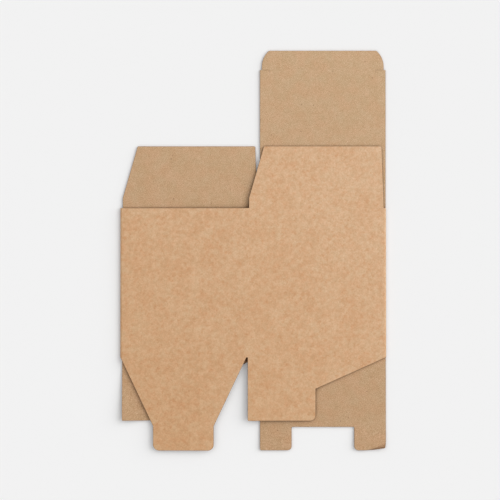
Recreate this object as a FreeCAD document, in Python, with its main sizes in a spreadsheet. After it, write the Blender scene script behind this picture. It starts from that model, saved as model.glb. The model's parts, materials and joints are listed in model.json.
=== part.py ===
"""Flattened tuck-top carton with a snap-lock bottom, in millimetres.

One die-cut sheet of board is folded into a tube of four panels, glued along one lap and pressed flat.
X runs across the flat tube, Y runs from the bottom flaps to the lid, and Z is up from the table.
The lower layer is the left side panel and the back panel, with their inner faces up.
The upper layer is the front panel and the right side panel, with their outer faces up.
"""
import FreeCAD
import Part
import Sketcher
import math
import os

Vector = FreeCAD.Vector

SIZES = {
    # The board, and the space left inside a pressed fold.
    "board": 1.5,
    "fold_gap": 0.3,
    # The four panels of the tube.
    "front_width": 95.5,
    "side_width": 104.0,
    "panel_height": 111.9,
    # The glue lap on the back panel: its reach, the strip beside its crease, the step and the angled ends.
    "lap_reach": 15.0,
    "lap_root": 2.0,
    "lap_step": 4.0,
    "lap_end_slope": 5.0,
    # Front and back flaps stand in from a fold and from a flat crease.
    "inset_fold": 0.2,
    "inset_crease": 0.85,
    # The lid and its tuck flap, with slit locks in the crease between them.
    "lid_depth": 104.0,
    "tuck_depth": 14.5,
    "tuck_inset": 1.4,
    "tuck_shoulder": 2.5,
    "tuck_round": 16.0,
    "slit_reach": 7.3,
    "slit_hook": 1.9,
    "slit_width": 0.35,
    # The dust flaps: a straight shoulder and a taper on the front side, a slight taper on the back side.
    "dust_depth": 46.5,
    "dust_shoulder": 7.5,
    "dust_taper": 11.2,
    "dust_back_taper": 1.6,
    "dust_inset_fold": 1.7,
    "dust_inset_crease": 1.1,
    # The bottom lock flaps of the front and back panels: the tab of one enters the notch of the other.
    "lock_depth": 69.8,
    "lock_slope_run": 24.5,
    "tab_depth": 18.3,
    "tab_round": 4.5,
    "leg_depth": 17.5,
    "notch_width": 47.0,
    "leg_round": 3.0,
    # The bottom lock flaps of the two side panels.
    "side_lock_depth": 47.5,
    "side_leg_width": 50.9,
    "side_leg_shoulder": 23.6,
    "side_leg_round": 4.0,
    "side_inset_fold": 1.35,
    "side_inset_crease": 0.1,
    # Corners that the cutting rule leaves almost sharp, and the pressed creases.
    "corner_round": 0.8,
    "crease_width": 1.6,
    "crease_press": 0.15,
    # The back flap's right leg is turned up at its outer corner.
    "dog_ear_width": 14.5,
    "dog_ear_depth": 5.5,
    "dog_ear_rise": 45.0,
}

doc = FreeCAD.newDocument("flattened_carton")
sheet = doc.addObject("Spreadsheet::Sheet", "sizes")
for row, (alias, value) in enumerate(SIZES.items(), start=1):
    sheet.set(f"A{row}", alias)
    sheet.set(f"B{row}", str(value))
    sheet.setAlias(f"B{row}", alias)
doc.recompute()

# Places across the flat tube: its two folds, the crease on the ridge and the glued seam below it.
FOLD_LEFT = "-(sizes.front_width + sizes.side_width) / 2"
FOLD_RIGHT = "(sizes.front_width + sizes.side_width) / 2"
RIDGE = "(sizes.front_width - sizes.side_width) / 2"
SEAM = "(sizes.side_width - sizes.front_width) / 2"

# Places along it: the tube's two ends, with the whole length centred on the origin.
LENGTH = "(sizes.lid_depth + sizes.tuck_depth + sizes.panel_height + sizes.lock_depth)"
TOP = f"({LENGTH} / 2 - sizes.lid_depth - sizes.tuck_depth)"
BOTTOM = f"(sizes.lock_depth - {LENGTH} / 2)"
TUCK_CREASE = f"({TOP} + sizes.lid_depth)"

# Heights: a fold is a round of two boards and the space between them, and the lap lifts the ridge.
FOLD_OUTER = "(sizes.board + sizes.fold_gap / 2)"
FOLD_TOP = "(2 * sizes.board + sizes.fold_gap)"
FOLD_CEILING = "(sizes.board + sizes.fold_gap)"
RIDGE_TOP = "(3 * sizes.board + sizes.fold_gap)"
RIDGE_CEILING = "(2 * sizes.board + sizes.fold_gap)"
FRONT_TILT = f"atan(sizes.board / (sizes.front_width - {FOLD_OUTER}))"
SIDE_TILT = f"atan(sizes.board / (sizes.side_width - {FOLD_OUTER}))"

# Two edges closer than this meet at the same corner.
NEAR = 0.001


def number(expression):
    """What an expression on the sheet comes to now, for a sketch's first guess."""
    return float(sheet.evalExpression(expression.replace("sizes.", "")))


def placed(x, y, z, axis="0; 0; 1", turn="0"):
    """A placement expression: a shift, and a turn about an axis."""
    return f"placement(vector({x}; {y}; {z}); rotation(vector({axis}); {turn}))"


def origin_plane(body, role):
    """The body's own origin plane with this role."""
    return [plane for plane in body.Origin.OriginFeatures if plane.Role == role][0]


def new_sketch(body, name, role="XY_Plane", offset=None):
    """A sketch on one of the body's origin planes, moved off it by an expression where one is given."""
    sketch = body.newObject("Sketcher::SketchObject", name)
    sketch.AttachmentSupport = [(origin_plane(body, role), "")]
    sketch.MapMode = "FlatFace"
    if offset:
        sketch.setExpression("AttachmentOffset", offset)
    return sketch


def round_through(start, end, centre):
    """The arc from start to end, anticlockwise about a centre."""
    first = math.atan2(start.y - centre.y, start.x - centre.x)
    last = math.atan2(end.y - centre.y, end.x - centre.x)
    circle = Part.Circle(centre, Vector(0, 0, 1), (start - centre).Length)
    return Part.ArcOfCircle(circle, first, last)


def bind(sketch, name, kind, geometry, point, expression):
    """Hold one coordinate of a sketch point at an expression on the sheet."""
    index = sketch.addConstraint(Sketcher.Constraint(kind, -1, 1, geometry, point, number(expression)))
    sketch.renameConstraint(index, name)
    sketch.setExpression(f"Constraints.{name}", expression)


def draw_outline(sketch, corners):
    """A closed anticlockwise outline from named corners (name, x, y).

    A corner with two more values starts an arc, and they are the arc's centre.
    """
    first = sketch.GeometryCount
    places = [Vector(number(corner[1]), number(corner[2]), 0) for corner in corners]
    for i, corner in enumerate(corners):
        start, end = places[i], places[(i + 1) % len(corners)]
        if len(corner) == 3:
            sketch.addGeometry(Part.LineSegment(start, end))
        else:
            centre = Vector(number(corner[3]), number(corner[4]), 0)
            sketch.addGeometry(round_through(start, end, centre))
    for i in range(len(corners)):
        following = first + (i + 1) % len(corners)
        sketch.addConstraint(Sketcher.Constraint("Coincident", first + i, 2, following, 1))
    for i, corner in enumerate(corners):
        bind(sketch, f"{corner[0]}_x", "DistanceX", first + i, 1, corner[1])
        bind(sketch, f"{corner[0]}_y", "DistanceY", first + i, 1, corner[2])
        if len(corner) > 3:
            bind(sketch, f"{corner[0]}_centre", "DistanceX", first + i, 3, corner[3])


def add_pad(body, sketch, name, depth, downwards=False):
    """Thicken a sketch into board."""
    pad = body.newObject("PartDesign::Pad", name)
    pad.Profile = sketch
    pad.Reversed = downwards
    pad.setExpression("Length", depth)
    doc.recompute()


def cut_through(body, sketch, name):
    """Cut a sketch out of the body, both ways from its plane."""
    before = body.Shape.Volume
    pocket = body.newObject("PartDesign::Pocket", name)
    pocket.Profile = sketch
    pocket.Type = "ThroughAll"
    pocket.Midplane = True
    doc.recompute()
    if body.Shape.Volume >= before - NEAR:
        raise RuntimeError(f"{name} cuts nothing")


def corner_edges(body, sketch, corners, wanted):
    """Names of the edges that stand square to the sketch on its named corners."""
    normal = sketch.Placement.Rotation.multVec(Vector(0, 0, 1))
    places = [
        sketch.Placement.multVec(Vector(number(corner[1]), number(corner[2]), 0))
        for corner in corners
        if corner[0] in wanted
    ]
    names = []
    for index, edge in enumerate(body.Shape.Edges, start=1):
        run = edge.Vertexes[-1].Point - edge.Vertexes[0].Point
        if run.Length < NEAR or run.cross(normal).Length > NEAR:
            continue
        if any((vertex.Point - place).Length < NEAR for vertex in edge.Vertexes for place in places):
            names.append(f"Edge{index}")
    if len(names) != len(wanted):
        raise RuntimeError(f"{sketch.Label}: found {len(names)} of the corners {wanted}")
    return names


def round_corners(body, sketch, corners, wanted, radius, name):
    """Round the named corners of an outline, through the whole thickness."""
    base = body.Tip
    names = corner_edges(body, sketch, corners, wanted)
    fillet = body.newObject("PartDesign::Fillet", name)
    fillet.Base = (base, names)
    fillet.setExpression("Radius", radius)
    doc.recompute()


def press_edge(body, ends, name):
    """Chamfer the top edge between two points, as half of a pressed crease."""
    line = ends[1] - ends[0]
    names = []
    for index, edge in enumerate(body.Shape.Edges, start=1):
        middle = edge.valueAt((edge.FirstParameter + edge.LastParameter) / 2)
        along = (middle - ends[0]).dot(line) / line.dot(line)
        offset = (middle - ends[0] - line * along).Length
        if 0 < along < 1 and offset < NEAR:
            names.append(f"Edge{index}")
    if len(names) != 1:
        raise RuntimeError(f"{name}: found {len(names)} edges there")
    base = body.Tip
    chamfer = body.newObject("PartDesign::Chamfer", name)
    chamfer.Base = (base, names)
    chamfer.setExpression("Size", "sizes.crease_press")
    doc.recompute()


def fold_tube(body):
    """The flat tube: its section has two round folds, a low ridge and the step of the glue lap."""
    sketch = new_sketch(body, "tube_section", "XZ_Plane", placed("0", "0", f"-{TOP}"))
    left = f"{FOLD_LEFT} + {FOLD_OUTER}"
    right = f"{FOLD_RIGHT} - {FOLD_OUTER}"
    draw_outline(sketch, [
        ("left_floor", left, "0"),
        ("seam_floor", SEAM, "0"),
        ("seam_edge", SEAM, "sizes.board"),
        ("step_floor", f"{SEAM} + sizes.lap_step", "0"),
        ("right_floor", right, "0", right, FOLD_OUTER),
        ("right_top", right, FOLD_TOP),
        ("ridge_right", f"{RIDGE} + sizes.crease_width / 2", RIDGE_TOP),
        ("ridge_dip", RIDGE, f"{RIDGE_TOP} - sizes.crease_press"),
        ("ridge_left", f"{RIDGE} - sizes.crease_width / 2", RIDGE_TOP),
        ("left_top", left, FOLD_TOP, left, FOLD_OUTER),
    ])
    draw_outline(sketch, [
        ("inner_left_floor", left, "sizes.board"),
        ("lap_foot", f"{SEAM} - sizes.lap_root", "sizes.board"),
        ("lap_edge", f"{SEAM} - sizes.lap_root", "2 * sizes.board"),
        ("lap_top", SEAM, "2 * sizes.board"),
        ("step_top", f"{SEAM} + sizes.lap_step", "sizes.board"),
        ("inner_right_floor", right, "sizes.board", right, FOLD_OUTER),
        ("inner_right_ceiling", right, FOLD_CEILING),
        ("ridge_ceiling", RIDGE, RIDGE_CEILING),
        ("inner_left_ceiling", left, FOLD_CEILING, left, FOLD_OUTER),
    ])
    add_pad(body, sketch, "tube", "sizes.panel_height")


def glue_lap(body):
    """The lap that is glued to the left side panel's inner face, with its ends cut at an angle."""
    sketch = new_sketch(body, "lap_outline", offset=placed("0", "0", "sizes.board"))
    root = f"{SEAM} - sizes.lap_root"
    free = f"{SEAM} - sizes.lap_reach"
    draw_outline(sketch, [
        ("lap_root_low", root, BOTTOM),
        ("lap_root_high", root, TOP),
        ("lap_free_high", free, f"{TOP} - sizes.lap_end_slope"),
        ("lap_free_low", free, f"{BOTTOM} + sizes.lap_end_slope"),
    ])
    add_pad(body, sketch, "lap", "sizes.board")


def lid_and_tuck(body):
    """The lid on the back panel with its tuck flap, and the two slits that lock against the dust flaps."""
    left = f"{SEAM} + sizes.inset_crease"
    right = f"{FOLD_RIGHT} - sizes.inset_fold"
    round_rise = "(sizes.tuck_depth - sizes.tuck_shoulder)"
    round_run = f"(sizes.tuck_round - sqrt(pow(sizes.tuck_round; 2) - pow({round_rise}; 2)))"
    shoulder = f"{TUCK_CREASE} + sizes.tuck_shoulder"
    end = f"{TUCK_CREASE} + sizes.tuck_depth"
    right_round = f"{right} - sizes.tuck_inset - sizes.tuck_round"
    left_round = f"{left} + sizes.tuck_inset + sizes.tuck_round"
    outline = new_sketch(body, "lid_outline")
    draw_outline(outline, [
        ("lid_left_root", left, TOP),
        ("lid_right_root", right, TOP),
        ("lid_right", right, TUCK_CREASE),
        ("tuck_right_root", f"{right} - sizes.tuck_inset", TUCK_CREASE),
        ("tuck_right", f"{right} - sizes.tuck_inset", shoulder, right_round, shoulder),
        ("tuck_right_end", f"{right} - sizes.tuck_inset - {round_run}", end),
        ("tuck_left_end", f"{left} + sizes.tuck_inset + {round_run}", end, left_round, shoulder),
        ("tuck_left", f"{left} + sizes.tuck_inset", shoulder),
        ("tuck_left_root", f"{left} + sizes.tuck_inset", TUCK_CREASE),
        ("lid_left", left, TUCK_CREASE),
    ])
    add_pad(body, outline, "lid", "sizes.board")
    slits = new_sketch(body, "slit_locks")
    low = f"{TUCK_CREASE} - sizes.slit_width / 2"
    high = f"{TUCK_CREASE} + sizes.slit_width / 2"
    hook = f"{TUCK_CREASE} - sizes.slit_hook"
    draw_outline(slits, [
        ("right_out_high", f"{right} + sizes.board", high),
        ("right_in_high", f"{right} - sizes.slit_reach", high),
        ("right_hook_in", f"{right} - sizes.slit_reach", hook),
        ("right_hook_out", f"{right} - sizes.slit_reach + sizes.slit_width", hook),
        ("right_in_low", f"{right} - sizes.slit_reach + sizes.slit_width", low),
        ("right_out_low", f"{right} + sizes.board", low),
    ])
    draw_outline(slits, [
        ("left_out_low", f"{left} - sizes.board", low),
        ("left_in_low", f"{left} + sizes.slit_reach - sizes.slit_width", low),
        ("left_hook_out", f"{left} + sizes.slit_reach - sizes.slit_width", hook),
        ("left_hook_in", f"{left} + sizes.slit_reach", hook),
        ("left_in_high", f"{left} + sizes.slit_reach", high),
        ("left_out_high", f"{left} - sizes.board", high),
    ])
    cut_through(body, slits, "slits")


def left_dust_flap(body):
    """The top flap of the left side panel; its front side is at the left fold."""
    left = f"{FOLD_LEFT} + sizes.dust_inset_fold"
    right = f"{SEAM} - sizes.dust_inset_crease"
    end = f"{TOP} + sizes.dust_depth"
    corners = [
        ("dust_left_root", left, TOP),
        ("dust_right_root", right, TOP),
        ("dust_right_end", f"{right} - sizes.dust_back_taper", end),
        ("dust_left_end", f"{left} + sizes.dust_taper", end),
        ("dust_left_shoulder", left, f"{TOP} + sizes.dust_shoulder"),
    ]
    outline = new_sketch(body, "left_dust_outline")
    draw_outline(outline, corners)
    add_pad(body, outline, "left_dust", "sizes.board")
    ends = ["dust_right_end", "dust_left_end"]
    round_corners(body, outline, corners, ends, "sizes.corner_round", "left_dust_rounds")


def left_lock_flap(body):
    """The bottom flap of the left side panel: a leg on the front side and a diagonal up to the seam."""
    left = f"{FOLD_LEFT} + sizes.side_inset_fold"
    right = f"{SEAM} - sizes.side_inset_crease"
    end = f"{BOTTOM} - sizes.side_lock_depth"
    corners = [
        ("side_left_root", left, BOTTOM),
        ("side_left_end", left, end),
        ("side_leg_end", f"{left} + sizes.side_leg_width", end),
        ("side_leg_shoulder", f"{left} + sizes.side_leg_width", f"{BOTTOM} - sizes.side_leg_shoulder"),
        ("side_right_root", right, BOTTOM),
    ]
    outline = new_sketch(body, "left_lock_outline")
    draw_outline(outline, corners)
    add_pad(body, outline, "left_lock", "sizes.board")
    round_corners(body, outline, corners, ["side_leg_end"], "sizes.side_leg_round", "left_leg_round")
    round_corners(body, outline, corners, ["side_left_end"], "sizes.corner_round", "left_lock_round")


def back_lock_flap(body):
    """The bottom flap of the back panel: two legs beside a notch, the right one turned up at its corner."""
    left = f"{SEAM} + sizes.inset_crease"
    right = f"{FOLD_RIGHT} - sizes.inset_fold"
    middle = f"({left} + {right}) / 2"
    end = f"{BOTTOM} - sizes.lock_depth"
    notch = f"{end} + sizes.leg_depth"
    ear_left = f"{right} - sizes.dog_ear_width"
    corners = [
        ("back_left_root", left, BOTTOM),
        ("back_left_end", left, end),
        ("left_leg_end", f"{middle} - sizes.notch_width / 2", end),
        ("notch_left", f"{middle} - sizes.notch_width / 2", notch),
        ("notch_right", f"{middle} + sizes.notch_width / 2", notch),
        ("right_leg_end", f"{middle} + sizes.notch_width / 2", end),
        ("ear_bend_left", ear_left, end),
        ("ear_bend_right", right, f"{end} + sizes.dog_ear_depth"),
        ("back_right_root", right, BOTTOM),
    ]
    outline = new_sketch(body, "back_lock_outline")
    draw_outline(outline, corners)
    add_pad(body, outline, "back_lock", "sizes.board")
    round_corners(body, outline, corners, ["left_leg_end", "right_leg_end"], "sizes.leg_round", "leg_rounds")
    round_corners(body, outline, corners, ["back_left_end"], "sizes.corner_round", "back_lock_round")
    turn = "atan(sizes.dog_ear_depth / sizes.dog_ear_width)"
    bend = placed(ear_left, end, "0", turn=turn)
    lift = placed("0", "0", "0", "1; 0; 0", "-sizes.dog_ear_rise")
    ear = new_sketch(body, "dog_ear_outline", offset=f"{bend} * {lift}")
    draw_outline(ear, [
        ("ear_start", "0", "0"),
        ("ear_corner", f"sizes.dog_ear_width * cos({turn})", f"-sizes.dog_ear_width * sin({turn})"),
        ("ear_end", "sqrt(pow(sizes.dog_ear_width; 2) + pow(sizes.dog_ear_depth; 2))", "0"),
    ])
    add_pad(body, ear, "dog_ear", "sizes.board")


def lower_creases(body):
    """The pressed creases of the lower layer, as shallow grooves in its outer face on the table."""
    sketch = new_sketch(body, "crease_sections", "YZ_Plane")
    for name, place in (("top", TOP), ("bottom", BOTTOM), ("tuck", TUCK_CREASE)):
        draw_outline(sketch, [
            (f"{name}_low", f"{place} - sizes.crease_width / 2", "0"),
            (f"{name}_high", f"{place} + sizes.crease_width / 2", "0"),
            (f"{name}_deep", place, "sizes.crease_press"),
        ])
    cut_through(body, sketch, "creases")


def upper_plane(end, tilt):
    """The outer face of an upper panel at one end of the tube, as an attachment on the XY plane.

    Local X runs from the ridge down the panel's slope, so the front panel has negative X.
    """
    return placed(RIDGE, end, RIDGE_TOP, "0; 1; 0", tilt)


def hinged_flap(label, tilt, end, corners, rounds):
    """One flap of the upper layer, padded down from its panel's outer face."""
    body = doc.addObject("PartDesign::Body", label)
    body.Label = label
    outline = new_sketch(body, f"{label}_outline", offset=upper_plane(end, tilt))
    draw_outline(outline, corners)
    add_pad(body, outline, f"{label}_board", "sizes.board", downwards=True)
    for wanted, radius in rounds:
        round_corners(body, outline, corners, wanted, radius, f"{label}_{wanted[0]}_round")
    root = [
        outline.Placement.multVec(Vector(number(corner[1]), 0, 0))
        for corner in corners
        if corner[0].endswith("_root")
    ]
    press_edge(body, root, f"{label}_crease")
    return body


def front_lock_flap():
    """The bottom flap of the front panel: sloped sides down to a tab."""
    left = "-(sizes.front_width - sizes.inset_fold)"
    right = "-sizes.inset_crease"
    shoulder = "-(sizes.lock_depth - sizes.tab_depth)"
    end = "-sizes.lock_depth"
    tab_left = f"({left} + sizes.lock_slope_run)"
    tab_right = f"({right} - sizes.lock_slope_run)"
    corners = [
        ("front_right_root", right, "0"),
        ("front_left_root", left, "0"),
        ("tab_left_shoulder", tab_left, shoulder),
        ("tab_left_end", tab_left, end),
        ("tab_right_end", tab_right, end),
        ("tab_right_shoulder", tab_right, shoulder),
    ]
    rounds = [
        (["tab_left_end", "tab_right_end"], "sizes.tab_round"),
        (["tab_left_shoulder", "tab_right_shoulder"], "sizes.corner_round"),
    ]
    return hinged_flap("front_lock_flap", f"-{FRONT_TILT}", BOTTOM, corners, rounds)


def side_lock_flap():
    """The bottom flap of the right side panel, the mirror of the left one."""
    left = "sizes.side_inset_crease"
    right = "(sizes.side_width - sizes.inset_fold)"
    end = "-sizes.side_lock_depth"
    leg = f"({left} + sizes.side_leg_width)"
    corners = [
        ("side_right_root", right, "0"),
        ("side_left_root", left, "0"),
        ("side_left_end", left, end),
        ("side_leg_end", leg, end),
        ("side_leg_shoulder", leg, "-sizes.side_leg_shoulder"),
    ]
    rounds = [
        (["side_leg_end"], "sizes.side_leg_round"),
        (["side_left_end"], "sizes.corner_round"),
    ]
    return hinged_flap("side_lock_flap", SIDE_TILT, BOTTOM, corners, rounds)


def side_dust_flap():
    """The top flap of the right side panel; its front side is at the ridge."""
    left = "sizes.dust_inset_crease"
    right = "(sizes.side_width - sizes.dust_inset_fold)"
    end = "sizes.dust_depth"
    corners = [
        ("dust_left_root", left, "0"),
        ("dust_right_root", right, "0"),
        ("dust_right_end", f"{right} - sizes.dust_back_taper", end),
        ("dust_left_end", f"{left} + sizes.dust_taper", end),
        ("dust_left_shoulder", left, "sizes.dust_shoulder"),
    ]
    rounds = [(["dust_right_end", "dust_left_end"], "sizes.corner_round")]
    return hinged_flap("side_dust_flap", SIDE_TILT, TOP, corners, rounds)


def carton_blank():
    """Everything that stays still: the tube, the glued lap and the four flaps of the lower layer."""
    body = doc.addObject("PartDesign::Body", "carton_blank")
    body.Label = "carton_blank"
    fold_tube(body)
    glue_lap(body)
    lid_and_tuck(body)
    left_dust_flap(body)
    left_lock_flap(body)
    back_lock_flap(body)
    lower_creases(body)
    return body


pieces = [carton_blank(), front_lock_flap(), side_lock_flap(), side_dust_flap()]
doc.recompute()

for item in doc.Objects:
    if "Invalid" in item.State or "Error" in item.State:
        raise RuntimeError(f"{item.Label} failed: {item.State}")
for piece in pieces:
    if piece.Shape.isNull() or not piece.Shape.isValid() or len(piece.Shape.Solids) != 1:
        raise RuntimeError(f"{piece.Label} is not one valid solid")

os.makedirs("parts", exist_ok=True)
for piece in pieces:
    piece.Shape.exportStep(f"parts/{piece.Label}.step")
    box = piece.Shape.BoundBox
    lengths = f"{box.XLength:.2f} x {box.YLength:.2f} x {box.ZLength:.2f}"
    print(f"{piece.Label}: {piece.Shape.Volume:.1f} mm3, {lengths}")
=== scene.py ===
# %% [markdown]
# # A flattened kraft carton
#
# The object is one die-cut sheet of kraft board. It is folded into a tube of four panels, glued along a
# lap, and pressed flat. We look straight down on it. The lower layer shows the dull inside of the board,
# and the upper layer shows the warmer outside.
#
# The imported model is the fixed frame: it says where every panel, crease and flap lies. Nothing here moves
# or resizes it. We only build the visible board around it, with real edges, folds and paper.

import json
import math

import bmesh
import bpy
import numpy as np
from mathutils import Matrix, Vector
from mathutils.geometry import delaunay_2d_cdt


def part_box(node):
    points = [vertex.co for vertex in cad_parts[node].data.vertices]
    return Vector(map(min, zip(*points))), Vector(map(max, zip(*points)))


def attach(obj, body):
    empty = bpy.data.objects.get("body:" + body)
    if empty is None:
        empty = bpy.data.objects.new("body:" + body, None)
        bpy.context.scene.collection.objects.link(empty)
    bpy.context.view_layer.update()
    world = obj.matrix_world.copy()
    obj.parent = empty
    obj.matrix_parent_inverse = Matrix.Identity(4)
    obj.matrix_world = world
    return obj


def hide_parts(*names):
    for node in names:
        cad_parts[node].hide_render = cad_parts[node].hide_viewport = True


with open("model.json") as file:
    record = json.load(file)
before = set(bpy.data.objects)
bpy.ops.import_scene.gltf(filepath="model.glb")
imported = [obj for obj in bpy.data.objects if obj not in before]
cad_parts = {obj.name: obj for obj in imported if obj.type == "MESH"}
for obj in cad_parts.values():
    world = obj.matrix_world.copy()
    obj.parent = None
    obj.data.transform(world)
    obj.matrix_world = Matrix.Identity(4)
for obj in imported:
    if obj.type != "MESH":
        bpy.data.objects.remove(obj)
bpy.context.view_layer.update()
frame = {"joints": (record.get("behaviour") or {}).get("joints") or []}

# %% [markdown]
# ## The places that everything is measured from
#
# A carton maker thinks in millimetres, so the sizes below are in millimetres, and MM turns them into
# Blender's metres. The two folds are the outer edges of the frame's box. The creases are where the frame
# has its hinges. The other sizes are the die line of the carton, flap by flap.

# %% Folds, creases and the thickness of the board
MM = 0.001
creases = {joint["name"]: [v / MM for v in joint["pos_m"]] for joint in frame["joints"]}
blank_low, blank_high = (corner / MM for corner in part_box("carton_blank"))

BOARD = 1.5
FOLD_GAP = 0.3
FOLD_ROUND = BOARD + FOLD_GAP / 2
FOLD_LEFT = blank_low.x
FOLD_RIGHT = blank_high.x
RIDGE, BOTTOM, _ = creases["front_lock_crease"]
TOP = creases["side_dust_crease"][1]
SEAM = FOLD_LEFT + FOLD_RIGHT - RIDGE
LEFT_EDGE = FOLD_LEFT + FOLD_ROUND
RIGHT_EDGE = FOLD_RIGHT - FOLD_ROUND
FOLD_TOP = 2 * FOLD_ROUND
print("tube from", FOLD_LEFT, "to", FOLD_RIGHT, "creases at", BOTTOM, "and", TOP, "ridge at", RIDGE)

# %% [markdown]
# ## The die line, flap by flap
#
# A snap-lock carton has three sorts of flap. The lid with its tuck flap closes the top, and the dust flaps
# under it keep the corners shut. At the bottom, the front flap's tab goes through the back flap's notch while
# the two side flaps hold both. So front and back share one depth, both side flaps share another, and each
# size is written once. The insets are the small steps back from a crease that let one flap pass another.

# %% The die line of each flap
LID_DEPTH = 104.0
TUCK_DEPTH = 14.5
TUCK_CREASE = TOP + LID_DEPTH

DUST_DEPTH = 46.5
DUST_SHOULDER = 7.5
DUST_TAPER = 11.2
DUST_BACK_TAPER = 1.6
DUST_INSET_FOLD = 1.7
DUST_INSET_CREASE = 1.1

LOCK_DEPTH = 69.8
LOCK_SLOPE_RUN = 24.5
TAB_DEPTH = 18.3

SIDE_LOCK_DEPTH = 47.5
SIDE_LEG_WIDTH = 50.9
SIDE_LEG_SHOULDER = 23.6
SIDE_LEG_ROUND = 4.0

INSET_FOLD = 0.2
INSET_CREASE = 0.85
SIDE_INSET_FOLD = 1.35
SIDE_INSET_CREASE = 0.1
CORNER_ROUND = 0.8

flat_ends = (BOTTOM - LOCK_DEPTH, TUCK_CREASE + TUCK_DEPTH)
print("along the tube the sheet reaches from", *[round(end, 1) for end in flat_ends])

# %% [markdown]
# ## From a die line to a board
#
# A die line is a list of corners. Each run between two corners is one of four kinds:
#
# - a cut, where the steel rule went through the board and its brown edge shows,
# - a slit, where the rule only parted the board, so that its two rims almost touch and stay sharp,
# - a crease, where the board goes on as a flap that is a mesh of its own,
# - a fold, where the board rolls over into the other layer, so the mesh stays open for now.
#
# We could fill such an outline with one big polygon, but then the board could not bend. So it gets a
# triangle mesh with points inside, which Blender's own constrained triangulation makes for us.

# %% Outlines with rounded corners
CELL = 3.0
ARC_STEP = 0.5
SAMPLE_ROUND = 4.0


def corner_arc(before, corner, after, radius):
    """Points of the arc that rounds a corner, from the first run to the second."""
    incoming = (before - corner).normalized()
    outgoing = (after - corner).normalized()
    half = incoming.angle(outgoing) / 2
    reach = radius / math.tan(half)
    centre = corner + (incoming + outgoing).normalized() * (radius / math.sin(half))
    start = corner + incoming * reach - centre
    end = corner + outgoing * reach - centre
    count = max(3, math.ceil(start.angle(end) * radius / ARC_STEP))
    points = []
    for step in range(count + 1):
        direction = start.slerp(end, step / count)
        points.append(centre + direction * (radius / direction.length))
    return points


def outline_points(runs):
    """Points round a die line, and the kind of the run that starts at each point."""
    corners = [Vector((x, y)) for x, y, _, _ in runs]
    points, kinds = [], []
    for i, (_, _, kind, radius) in enumerate(runs):
        here, after = corners[i], corners[(i + 1) % len(runs)]
        if radius:
            arc = corner_arc(corners[i - 1], here, after, radius)
            points += arc[:-1]
            kinds += ["cut"] * (len(arc) - 1)
            here = arc[-1]
        next_radius = runs[(i + 1) % len(runs)][3]
        if next_radius:
            after = corner_arc(corners[i], after, corners[(i + 2) % len(runs)], next_radius)[0]
        pieces = max(1, round((after - here).length / CELL))
        points += [here.lerp(after, step / pieces) for step in range(pieces)]
        kinds += [kind] * pieces
    return points, kinds


square_corner = corner_arc(Vector((0, 9)), Vector((0, 0)), Vector((9, 0)), SAMPLE_ROUND)
print("a square corner of radius", SAMPLE_ROUND, "gets", len(square_corner), "points")

# %% Points inside an outline
ROW_STEP = 0.87
LINE_CLEARANCE = 0.75
LINE_ROWS = (-1.6, -0.8, 0.0, 0.8, 1.6)
OUTLINE_CLEARANCE = 0.55


def inside_points(points, lines, spots):
    """A staggered grid inside the outline, with closer rows along pressed lines and round given spots."""
    ring = np.array([tuple(p) for p in points])
    low, high = ring.min(axis=0), ring.max(axis=0)
    grid = []
    for row, y in enumerate(np.arange(low[1], high[1], CELL * ROW_STEP)):
        shift = CELL / 2 if row % 2 else 0
        grid += [(x + shift, y) for x in np.arange(low[0], high[0], CELL)]
    grid = np.array(grid)
    for axis, place in lines:
        grid = grid[np.abs(grid[:, axis] - place) > CELL * LINE_CLEARANCE]
        along = np.arange(low[1 - axis], high[1 - axis], CELL)
        for offset in LINE_ROWS:
            row = np.empty((len(along), 2))
            row[:, axis] = place + offset
            row[:, 1 - axis] = along
            grid = np.vstack([grid, row])
    for x, y, reach, step in spots:
        grid = grid[np.hypot(grid[:, 0] - x, grid[:, 1] - y) > reach]
        steps = np.arange(-reach, reach, step)
        patch = np.array([(x + u, y + v) for u in steps for v in steps if math.hypot(u, v) < reach])
        grid = np.vstack([grid, patch])
    following = np.roll(ring, -1, axis=0)
    crossings = np.zeros(len(grid), dtype=int)
    nearest = np.full(len(grid), np.inf)
    for a, b in zip(ring, following):
        run = b - a
        if a[1] != b[1]:
            between = (grid[:, 1] >= min(a[1], b[1])) & (grid[:, 1] < max(a[1], b[1]))
            crossings += between & (grid[:, 0] < a[0] + (grid[:, 1] - a[1]) * run[0] / run[1])
        along = np.clip(((grid - a) @ run) / (run @ run), 0, 1)
        nearest = np.minimum(nearest, np.linalg.norm(grid - a - along[:, None] * run, axis=1))
    keep = (crossings % 2 == 1) & (nearest > OUTLINE_CLEARANCE)
    return [Vector(p) for p in grid[keep]]

# %% [markdown]
# ## Thickness, and a rounded rim
#
# The same triangles are laid twice, as the board's two faces. Between them goes the wall, in rings: the
# steel rule crushes both liners a little, so a cut rim is rounded, while at a crease the wall is plain and
# meets the next piece. A bevel modifier could round the rims too, but it would also round the creases, so
# each run of the outline says how far its ring steps in.
#
# The place of each point comes from a rule that takes the flat position and the height inside the board,
# so a ridge, a lap or a curled corner bends both faces together.

# %% Rings of the rim
OUTER, INNER, EDGE = 0, 1, 2
RIM = 0.2
RIM_STEPS = 2
STRAIGHT_ON = 0.05


def inset_directions(points, kinds):
    """For each point, the way in that keeps cut runs one rim away and leaves the other runs in place."""
    ways = []
    for i, point in enumerate(points):
        before = (point - points[i - 1]).normalized()
        after = (points[(i + 1) % len(points)] - point).normalized()
        turn = before.cross(after)
        reach_before = 1.0 if kinds[i - 1] == "cut" else 0.0
        reach_after = 1.0 if kinds[i] == "cut" else 0.0
        if "fold" in (kinds[i - 1], kinds[i]):
            ways.append(Vector((0.0, 0.0)))
        elif abs(turn) < STRAIGHT_ON:
            ways.append(Vector((-before.y, before.x)) * min(reach_before, reach_after))
        else:
            ways.append((after * reach_before - before * reach_after) / turn)
    return ways


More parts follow.
